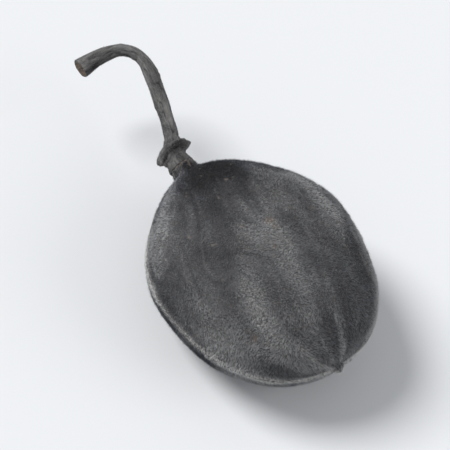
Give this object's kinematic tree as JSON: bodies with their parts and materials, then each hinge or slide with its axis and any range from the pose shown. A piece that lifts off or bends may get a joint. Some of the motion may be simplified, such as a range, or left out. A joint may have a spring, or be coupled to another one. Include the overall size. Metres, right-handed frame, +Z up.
{
  "type": "velvet tamarind",
  "caption": "Whole dry velvet tamarind: a flattened round black velvety pod with a seam along its margin, a tiny beak and a woody stalk with a collar and a hooked end.",
  "frame": {"origin": "centre of the small flat spot under the pod that the fruit rests on", "axes": "+Y from the pod towards its stalk, +Z up through the pod's thinner way, and the stalk's hooked end turns towards -X"},
  "size_m": [0.0162, 0.0307, 0.0105],
  "materials": {
    "velvet_shell": "thin woody shell with a dense short black velvet nap, soft matte sheen, brown where it is rubbed",
    "woody_stalk": "dry dark grey-brown bark, finely wrinkled along its length, paler broken end"
  },
  "bodies": {
    "root": {"pod": "velvet_shell", "stalk": "woody_stalk"}
  },
  "joints": []
}
